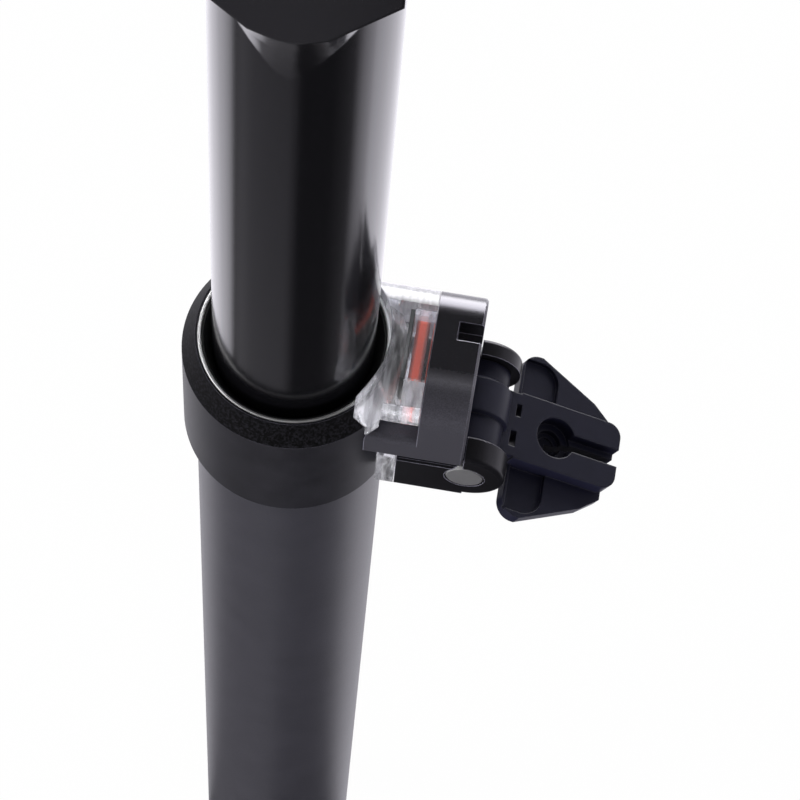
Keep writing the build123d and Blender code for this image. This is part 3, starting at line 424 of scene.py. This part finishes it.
# %% [markdown]
# ## Bare metals
# Pins, bolts, rings and the rod are bare steel or aluminium. Turned faces show fine rings or
# lines. An anisotropic sheen needs tangents on each face. A noise that is stretched along one
# direction needs none, and moves only the roughness and the bump.

# %% Bare metal finishes
LINES_PER_MM = 2.0
STAINS_PER_MM = 0.5
STAINED_SHARE = 0.85
LINE_SWING = 0.2
STAIN_SWING = 0.1
BARE_EDGE_MM = 0.12
BARE_EDGE_SHADE = 0.9


def bare_metal(name, shade, rough, stretch, tint=(1.0, 1.0, 1.0), lift=0.004):
    finish = Finish(name)
    spot = finish.place_mm()
    lines = finish.noise(spot, LINES_PER_MM, PLAIN, stretch=stretch)
    stains = finish.noise(spot, STAINS_PER_MM, PLAIN)
    rounded = finish.round_normal(BARE_EDGE_MM)
    edge = finish.edge_mask(rounded)
    tone = finish.mix(stains, grey(shade * STAINED_SHARE, tint), grey(shade, tint))
    return finish.done(finish.skin(
        Base_Color=finish.mix(edge * HALF, tone, grey(BARE_EDGE_SHADE, tint)), Metallic=1.0,
        Roughness=rough + (lines - HALF) * LINE_SWING + (stains - HALF) * STAIN_SWING,
        Normal=finish.bump(lines, lift, rounded)))


ring_steel = bare_metal("ring_steel", shade=0.90, rough=0.45, stretch=(1.0, 1.0, 6.0))
pin_steel = bare_metal("pin_steel", shade=0.95, rough=0.58, stretch=(4.0, 0.2, 4.0))
bolt_steel = bare_metal("bolt_steel", shade=0.42, rough=0.28, stretch=(3.0, 3.0, 3.0))
release_steel = bare_metal("release_steel", shade=0.60, rough=0.32, stretch=(6.0, 6.0, 0.1))
alloy_bare = bare_metal("alloy_bare", shade=0.70, rough=0.34, stretch=(0.3, 0.3, 8.0))
rod_chrome = bare_metal("rod_chrome", shade=0.78, rough=0.12, stretch=(6.0, 6.0, 0.1), lift=0.001)
key_brass = bare_metal("key_brass", shade=0.80, rough=0.35, stretch=(1.0, 1.0, 5.0),
                       tint=(1.0, 0.72, 0.36))
print("bare metal finishes ready")

# %% [markdown]
# ## Plastics and rubber
# Moulded parts have no grain of their own. The tool they were made in was spark-eroded, which
# gives a fine matt pebble, and their edges are rounder than machined ones. The lever is nearly
# black with a blue cast, and its edges are polished a little by fingers and cable. They could
# share the recipe of the metals, but one without rings or dye is shorter and takes a colour
# instead of a shade.

# %% Plastic and rubber finishes
FLOW_PER_MM = 0.3
FLOW_SWING = 0.2
PEBBLE_SWING = 0.15
EDGE_SHARE = 0.6
EDGE_SHINE = 0.08


def moulded(name, colour, rough, pebble_per_mm=5.0, lift=0.012, edge_mm=0.3, edge_gain=0.04,
            level=0.5):
    finish = Finish(name)
    spot = finish.place_mm()
    pebble = finish.noise(spot, pebble_per_mm, SOFT)
    flow = finish.noise(spot, FLOW_PER_MM, SOFT)
    rounded = finish.round_normal(edge_mm)
    edge = finish.edge_mask(rounded)
    polished = tuple(part + edge_gain for part in colour) + (1.0,)
    tone = finish.mix(flow, grey(1.0 - FLOW_SWING, colour), grey(1.0 + FLOW_SWING, colour))
    return finish.done(finish.skin(
        Base_Color=finish.mix(edge * EDGE_SHARE, tone, polished), Metallic=0.0,
        Specular_IOR_Level=level,
        Roughness=rough + (pebble - HALF) * PEBBLE_SWING - edge * EDGE_SHINE,
        Normal=finish.bump(pebble, lift, rounded)))


lever_plastic = moulded("lever_plastic", (0.0110, 0.0110, 0.0240), 0.40, level=0.15)
plate_grey = moulded("plate_grey", (0.10, 0.12, 0.11), 0.40, pebble_per_mm=3.0, lift=0.006,
                     edge_mm=0.15, edge_gain=0.1)
bush_plastic = moulded("bush_plastic", (0.55, 0.53, 0.48), 0.5)
seal_rubber = moulded("seal_rubber", (0.004, 0.004, 0.005), 0.55, pebble_per_mm=4.0, lift=0.02,
                      edge_gain=0.02, level=0.25)
foam = moulded("foam", (0.05, 0.05, 0.055), 0.95, pebble_per_mm=1.5, lift=0.25, edge_gain=0.02)
print("plastic finishes ready")

# %% [markdown]
# ## Red slider
# The bar behind the clear cover is orange-red along its middle and much darker towards its sides,
# where the light of the window doesn't reach. Lamps alone would need a real slit of light there.
# The change runs across the bar, so it is worked out from how far a point lies from its middle
# line.

# %% Red plastic
BAR_MIDDLE_X_MM = 19.95
BAR_CORE_MM = 0.40
BAR_RIM_MM = 0.85
BAR_DARK = (0.22, 0.022, 0.010, 1.0)
BAR_BRIGHT = (0.88, 0.085, 0.022, 1.0)
BAR_ROUGH = 0.38
BAR_PEBBLE_PER_MM = 3.0
BAR_LIFT_MM = 0.006
BAR_EDGE_MM = 0.2


def slider_finish():
    finish = Finish("slider_red")
    spot = finish.place_mm()
    off_middle = finish.sum("ABSOLUTE", finish.axis(spot, "X") - BAR_MIDDLE_X_MM)
    core = finish.slope(off_middle, BAR_CORE_MM, BAR_RIM_MM, 1.0, 0.0)
    pebble = finish.noise(spot, BAR_PEBBLE_PER_MM, SOFT)
    return finish.done(finish.skin(
        Base_Color=finish.mix(core, BAR_DARK, BAR_BRIGHT),
        Roughness=BAR_ROUGH + (pebble - HALF) * PEBBLE_SWING,
        Normal=finish.bump(pebble, BAR_LIFT_MM, finish.round_normal(BAR_EDGE_MM))))


slider_red = slider_finish()
print("red slider finish ready")

# %% [markdown]
# ## Clear cover
# The cover over the release is clear polycarbonate with thick walls. What the eye reads is the
# bending of what lies behind. Alpha would only thin it out, so it gets real refraction. The
# plastic is slightly milky: a share of white that scatters keeps it pale over the black collar,
# as in the photograph. There is little of it in the thin window over the red slider and more in
# the thick rear end. Shadow rays are let through, because a clear part hardly darkens what is
# inside it.

# %% Milk in the clear plastic
MILK_LOW = 0.10
MILK_HIGH = 0.34
STREAKS_PER_MM = 0.5
STREAK_DETAIL = 1.5
STREAK_STRETCH = (2.4, 0.5, 0.35)
STREAK_STOPS = (0.40, 0.0), (0.66, 1.0)
WINDOW_X_MM = 18.3
WINDOW_HALF_Y_MM = 6.2
WINDOW_MILK = 0.05
REAR_Y_MM = 7.0
REAR_MILK = 0.45


def milk_share(finish, spot):
    """How much of the plastic is milky at a point."""
    streaks = finish.ramp(
        finish.noise(spot, STREAKS_PER_MM, STREAK_DETAIL, stretch=STREAK_STRETCH), *STREAK_STOPS)
    along = finish.axis(spot, "Y")
    outward = finish.sum("GREATER_THAN", finish.axis(spot, "X"), WINDOW_X_MM)
    inside = finish.sum("LESS_THAN", finish.sum("ABSOLUTE", along), WINDOW_HALF_Y_MM)
    clearing = 1.0 - outward * inside * (1.0 - WINDOW_MILK)
    rear = finish.sum("GREATER_THAN", along, REAR_Y_MM)
    return (streaks * (MILK_HIGH - MILK_LOW) + MILK_LOW) * clearing + rear * REAR_MILK


print("milk from", round(MILK_LOW * WINDOW_MILK, 3), "to", round(MILK_HIGH + REAR_MILK, 2))

# %% Clear plastic
COVER_EDGE_MM = 0.35
COVER_FLOW_PER_MM = 0.35
COVER_WAVE_MM = 0.06
SCUFFS_PER_MM = 2.5
SCUFF_STOPS = (0.55, 0.0), (0.75, 1.0)
GLASS_IOR = 1.49
GLASS_ROUGH = 0.05
SCUFF_ROUGH = 0.15
MILK_ROUGH = 0.25
GLASS_DARK, GLASS_PALE = (0.93, 0.94, 0.98, 1.0), (0.99, 0.99, 1.0, 1.0)
MILK_DARK, MILK_PALE = (0.72, 0.72, 0.78, 1.0), (0.88, 0.87, 0.90, 1.0)
SHADOW_TINT = (0.9, 0.92, 0.94, 1.0)


def clear_plastic():
    finish = Finish("cover_clear")
    spot = finish.place_mm()
    flow = finish.noise(spot, COVER_FLOW_PER_MM, SOFT)
    scuffs = finish.ramp(finish.noise(spot, SCUFFS_PER_MM, FINE), *SCUFF_STOPS)
    surface = finish.bump(flow, COVER_WAVE_MM, finish.round_normal(COVER_EDGE_MM))
    glass = finish.skin(Base_Color=finish.mix(flow, GLASS_DARK, GLASS_PALE), IOR=GLASS_IOR,
                        Roughness=GLASS_ROUGH + scuffs * SCUFF_ROUGH,
                        Transmission_Weight=1.0, Normal=surface)
    milk = finish.skin(Base_Color=finish.mix(flow, MILK_DARK, MILK_PALE), Roughness=MILK_ROUGH,
                       Normal=surface)
    milky = finish.mix_shaders(milk_share(finish, spot), glass, milk)
    open_air = finish.add("ShaderNodeBsdfTransparent", None, {"Color": SHADOW_TINT})
    return finish.done(finish.mix_shaders(finish.ray("Shadow"), milky, open_air))


cover_clear = clear_plastic()
print("clear plastic ready")

# %% [markdown]
# ## Put the finishes on the solids
# The record of the part names one slot of finish for each node. The same names are used for the
# materials here, so the list below is short and nothing can be mixed up. The hinge frame shares
# the body's slot, but it is duller, so it has a finish of its own.

# %% Dress the CAD nodes
finish_of = {
    "tube_charcoal": tube_charcoal, "collar_charcoal": collar_charcoal, "body_black": body_black,
    "clamp_black": clamp_black, "foot_black": foot_black, "screw_black": screw_black,
    "mast_black": mast_black, "ring_steel": ring_steel, "pin_steel": pin_steel,
    "bolt_steel": bolt_steel, "release_steel": release_steel, "alloy_bare": alloy_bare,
    "rod_chrome": rod_chrome, "key_brass": key_brass, "lever_plastic": lever_plastic,
    "slider_red": slider_red, "plate_grey": plate_grey, "bush_plastic": bush_plastic,
    "seal_rubber": seal_rubber, "foam": foam, "cover_clear": cover_clear,
}
finish_of_node = {"hinge_frame": frame_black}
slot_of = {entry["node"]: entry["material_slot"] for entry in frame["record"]["subparts"]}
for name, piece in nodes.items():
    piece.data.materials.clear()
    piece.data.materials.append(finish_of_node.get(name, finish_of[slot_of[name]]))
print("dressed", len(slot_of), "of", len(nodes))

# %% [markdown]
# ## Threads of the clamp bolts
# The CAD bolts have plain shanks. A thread cut in CAD costs thousands of faces, and a bump
# doesn't show in the outline. But a thread is one ridge that follows a helix, so Geometry Nodes
# draws it: a Spiral gives the path, a three-sided profile is swept along it, and the ridge stands
# a little proud of the shank. It starts far enough over the barrel nut to stay clear of it when
# the clamp tilts, and ends under the washer. The tree is turned into a plain mesh for each bolt,
# which then rides with that bolt.

# %% Thread ridges
THREAD_PITCH_MM = 0.8
THREAD_PROUD_MM = 0.12
NUT_SPARE_MM = 2.4
WASHER_SPARE_MM = 0.8
SHANK_RADIUS_MM = 2.5
STEPS_PER_TURN = 24
RIDGE_SIDES = 3


def thread_tree():
    """Geometry Nodes tree for one helical ridge, with its sizes as named inputs."""
    tree = bpy.data.node_groups.new("thread_ridge", "GeometryNodeTree")
    for name, kind in (("Turns", "Float"), ("Radius", "Float"), ("Length", "Float"),
                       ("Ridge", "Float"), ("Place", "Vector"), ("Finish", "Material")):
        tree.interface.new_socket(name, in_out="INPUT", socket_type="NodeSocket" + kind)
    tree.interface.new_socket("Geometry", in_out="OUTPUT", socket_type="NodeSocketGeometry")
    given = tree.nodes.new("NodeGroupInput")
    path = tree.nodes.new("GeometryNodeCurveSpiral")
    path.inputs["Resolution"].default_value = STEPS_PER_TURN
    profile = tree.nodes.new("GeometryNodeCurvePrimitiveCircle")
    profile.inputs["Resolution"].default_value = RIDGE_SIDES
    sweep = tree.nodes.new("GeometryNodeCurveToMesh")
    sweep.inputs["Fill Caps"].default_value = True
    move = tree.nodes.new("GeometryNodeTransform")
    real = tree.nodes.new("GeometryNodeRealizeInstances")
    dress = tree.nodes.new("GeometryNodeSetMaterial")
    result = tree.nodes.new("NodeGroupOutput")
    for source, output, target, entry in (
            (given, "Turns", path, "Rotations"), (given, "Radius", path, "Start Radius"),
            (given, "Radius", path, "End Radius"), (given, "Length", path, "Height"),
            (given, "Ridge", profile, "Radius"), (path, "Curve", sweep, "Curve"),
            (profile, "Curve", sweep, "Profile Curve"), (sweep, "Mesh", move, "Geometry"),
            (given, "Place", move, "Translation"), (move, "Geometry", real, "Geometry"),
            (real, "Geometry", dress, "Geometry"), (given, "Finish", dress, "Material"),
            (dress, "Geometry", result, "Geometry")):
        tree.links.new(source.outputs[output], target.inputs[entry])
    return tree


ridge_tree = thread_tree()
print("thread tree has", len(ridge_tree.nodes), "nodes")

# %% Grow a ridge for each bolt
def grow(name, tree, sizes):
    """Runs a tree with the given sizes and keeps its result as a plain mesh."""
    seed = bpy.data.objects.new(name + "_seed", bpy.data.meshes.new(name + "_seed"))
    scene.collection.objects.link(seed)
    modifier = seed.modifiers.new("grow", "NODES")
    modifier.node_group = tree
    for item in tree.interface.items_tree:
        if item.in_out == "INPUT":
            modifier[item.identifier] = sizes[item.name]
    bpy.context.view_layer.update()
    evaluated = seed.evaluated_get(bpy.context.evaluated_depsgraph_get())
    mesh = bpy.data.meshes.new_from_object(evaluated)
    mesh.name = name
    seed.modifiers.remove(modifier)
    bpy.data.objects.remove(seed)
    piece = bpy.data.objects.new(name, mesh)
    scene.collection.objects.link(piece)
    return piece


for place in ("front", "rear"):
    bolt = "clamp_bolt_" + place
    low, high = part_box(bolt)
    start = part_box("barrel_nut_" + place)[1][2] + NUT_SPARE_MM * MM
    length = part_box("bolt_washer_" + place)[0][2] - WASHER_SPARE_MM * MM - start
    ridge = grow("thread_" + place, ridge_tree, {
        "Turns": length / (THREAD_PITCH_MM * MM),
        "Radius": (SHANK_RADIUS_MM - THREAD_PROUD_MM) * MM,
        "Length": length,
        "Ridge": 2.0 * THREAD_PROUD_MM * MM,
        "Place": ((low[0] + high[0]) / 2.0, (low[1] + high[1]) / 2.0, start),
        "Finish": finish_of[slot_of[bolt]]})
    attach(ridge, place + "_bolt")
    print(ridge.name, "faces:", len(ridge.data.polygons), "length mm:", round(length / MM, 2))

# %% [markdown]
# ## Studio
# A pale floor runs out of the picture, and behind it the world is white. Black parts show little
# but what they mirror. Dark boards around the part would show in the picture, so the rays are
# told apart instead, and gloss gets a quieter room than the eye. In that room the floor has a
# grey patch in front, a nearly black one to its right and bright sides, and the ceiling is dark.

# %% Floor
FLOOR_RADIUS = 4.0
FLOOR_SIDES = 96
FLOOR_DARK = 0.84
FLOOR_PALE = 0.90
FLOOR_NOISE_PER_MM = 0.02
FRONT_GLOSS = 0.25
DARK_GLOSS = 0.03
SIDE_GLOSS = 1.5
# directions around the part in shares of a turn, from straight ahead towards the lever module
GLOSS_AROUND = ((-0.30, SIDE_GLOSS), (-0.245, 1.0), (-0.225, 0.1), (-0.20, 0.3),
                (-0.15, FRONT_GLOSS), (-0.02, FRONT_GLOSS), (0.03, DARK_GLOSS),
                (0.13, DARK_GLOSS), (0.20, 0.12), (0.27, SIDE_GLOSS))
FULL_TURN = 2.0 * math.pi
SEEN_SHARE = 0.98
WHITE = grey(1.0)
COOL_WHITE = (0.95, 0.93, 1.0, 1.0)


def floor_finish():
    """Matt for light, white for the eye and patched for gloss."""
    finish = Finish("studio_floor")
    spot = finish.place_mm()
    tone = finish.mix(finish.noise(spot, FLOOR_NOISE_PER_MM, SOFT), grey(FLOOR_DARK),
                      grey(FLOOR_PALE))
    matt = finish.add("ShaderNodeBsdfDiffuse", None, {"Color": tone})
    turn = finish.sum("ARCTAN2", finish.axis(spot, "X"), finish.axis(spot, "Y") * -1.0)
    stops = [(HALF + place, level / SIDE_GLOSS) for place, level in GLOSS_AROUND]
    mirrored = finish.ramp(turn * (1.0 / FULL_TURN) + HALF, *stops) * SIDE_GLOSS
    seen = finish.clamp(finish.ray("Camera") + finish.ray("Transmission"))
    gloss = finish.ray("Glossy")
    glow = finish.add("ShaderNodeEmission", None, {
        "Color": finish.mix(gloss, WHITE, COOL_WHITE),
        "Strength": seen + gloss * mirrored * (1.0 - seen)})
    return finish.done(finish.mix_shaders(finish.clamp(seen * SEEN_SHARE + gloss), matt, glow))


floor_z = cad_box[0][2]
bpy.ops.mesh.primitive_circle_add(vertices=FLOOR_SIDES, radius=FLOOR_RADIUS, fill_type="NGON",
                                  location=(0, 0, floor_z))
floor = bpy.context.object
floor.name = "floor"
floor.data.materials.append(floor_finish())
print("floor at", round(floor_z / MM, 1), "mm")

# %% World
WORLD_LIGHT = 0.30
FRONT_SKY = 0.12
FRONT_REACH = 0.4
CEILING_START = 0.40
CEILING_FULL = 0.65
CEILING_GLOSS = 0.03

world = bpy.data.worlds.new("studio")
scene.world = world
world.use_nodes = True
sky = Recipe(world.node_tree)
way = sky.add("ShaderNodeTexCoord", output="Generated")
depth = sky.slope(sky.axis(way, "Y"), -FRONT_REACH, FRONT_REACH, FRONT_SKY, 1.0)
ceiling = sky.slope(sky.axis(way, "Z"), CEILING_START, CEILING_FULL, 1.0, CEILING_GLOSS)
seen = sky.clamp(sky.ray("Camera") + sky.ray("Transmission"))
gloss = sky.ray("Glossy")
strength = seen + (1.0 - seen) * (gloss * ceiling * depth + (1.0 - gloss) * WORLD_LIGHT)
sky.end("ShaderNodeOutputWorld", sky.add("ShaderNodeBackground", None, {
    "Color": sky.mix(gloss, WHITE, COOL_WHITE), "Strength": strength}))
print("world has", len(world.node_tree.nodes), "nodes")

# %% [markdown]
# ## Light
# The lamps are large and soft. A glowing card behind the part is seen by gloss alone and draws
# the bright rear shoulders. A low lamp in front reaches the upright faces and leaves the tops
# dark. It isn't mirrored itself, so it puts no spot on the black gloss.

# %% Bright card behind, for gloss alone
CARD_PLACE = Vector((0.0, 1.2, 0.42))
CARD_SIZE = (2.0, 1.1)
CARD_GLOW = 8.0
CARD_STOPS = (0.0, 0.5), (0.3, 1.0), (0.7, 1.0), (1.0, 0.5)


def card_finish(name):
    """A glow that fades to half at both ends."""
    finish = Finish(name)
    spot = finish.add("ShaderNodeTexCoord", output="Object")
    fade = finish.ramp(finish.axis(spot, "X") + HALF, *CARD_STOPS)
    return finish.done(finish.add("ShaderNodeEmission", None, {
        "Color": WHITE, "Strength": fade * CARD_GLOW}))


bpy.ops.mesh.primitive_plane_add(size=1.0, location=CARD_PLACE)
card = bpy.context.object
card.name = "card_back"
card.scale = (CARD_SIZE[0], CARD_SIZE[1], 1.0)
card.rotation_euler = (math.radians(90.0), 0.0, 0.0)
card.data.materials.append(card_finish(card.name))
card.visible_camera = card.visible_diffuse = card.visible_transmission = False
card.visible_shadow = card.visible_volume_scatter = False
print("card in place")

# %% Lamps
MIDDLE = Vector((0.0, 0.0, 0.02))
# name, place, width and height, power, whether gloss mirrors it
LAMPS = (
    ("soft_left", (-0.9, -0.2, 0.4), (0.7, 1.2), 7.0, True),
    ("soft_right", (0.9, 0.1, 0.4), (0.6, 1.2), 1.2, True),
    ("soft_top", (0.0, -0.6, 1.1), (0.9, 0.9), 0.8, True),
    ("soft_low", (0.15, -0.8, -0.05), (1.0, 0.25), 6.0, False),
    ("soft_back", (0.1, 1.0, 0.30), (1.4, 0.6), 8.0, True),
)

for name, place, size, power, mirrored in LAMPS:
    light = bpy.data.lights.new(name, "AREA")
    light.shape = "RECTANGLE"
    light.size, light.size_y = size
    light.energy = power
    lamp = bpy.data.objects.new(name, light)
    lamp.visible_glossy = mirrored
    scene.collection.objects.link(lamp)
    turned = (MIDDLE - Vector(place)).to_track_quat("-Z", "Y").to_matrix().to_4x4()
    lamp.matrix_world = Matrix.Translation(place) @ turned
print("soft lamps:", len(LAMPS))
